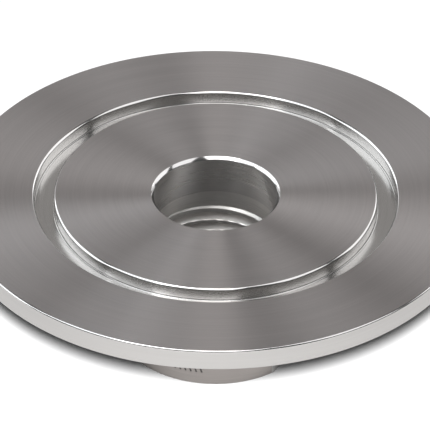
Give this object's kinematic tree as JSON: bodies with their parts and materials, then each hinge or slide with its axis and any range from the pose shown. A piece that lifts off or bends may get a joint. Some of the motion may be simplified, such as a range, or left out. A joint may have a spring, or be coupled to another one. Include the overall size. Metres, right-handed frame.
{
  "type": "clamp flange with threaded port",
  "caption": "Round stainless clamp flange with a centring groove in its face and a taper-threaded socket welded behind it.",
  "frame": {"origin": "on the axis, at the end face of the socket, which the part stands on", "axes": "+Z along the axis, from the socket to the sealing face; -Y is the front; the first spanner flat faces 30 degrees from +X towards -Y"},
  "size_m": [0.075, 0.075, 0.024],
  "materials": {
    "turned_steel": "fine concentric turning marks, bright",
    "satin_steel": "satin, turned outside and threaded inside",
    "weld_steel": "rippled weld bead, lightly tinted by heat"
  },
  "bodies": {
    "root": {"flange_disc": "turned_steel", "threaded_socket": "satin_steel", "weld_bead": "weld_steel"}
  },
  "joints": []
}
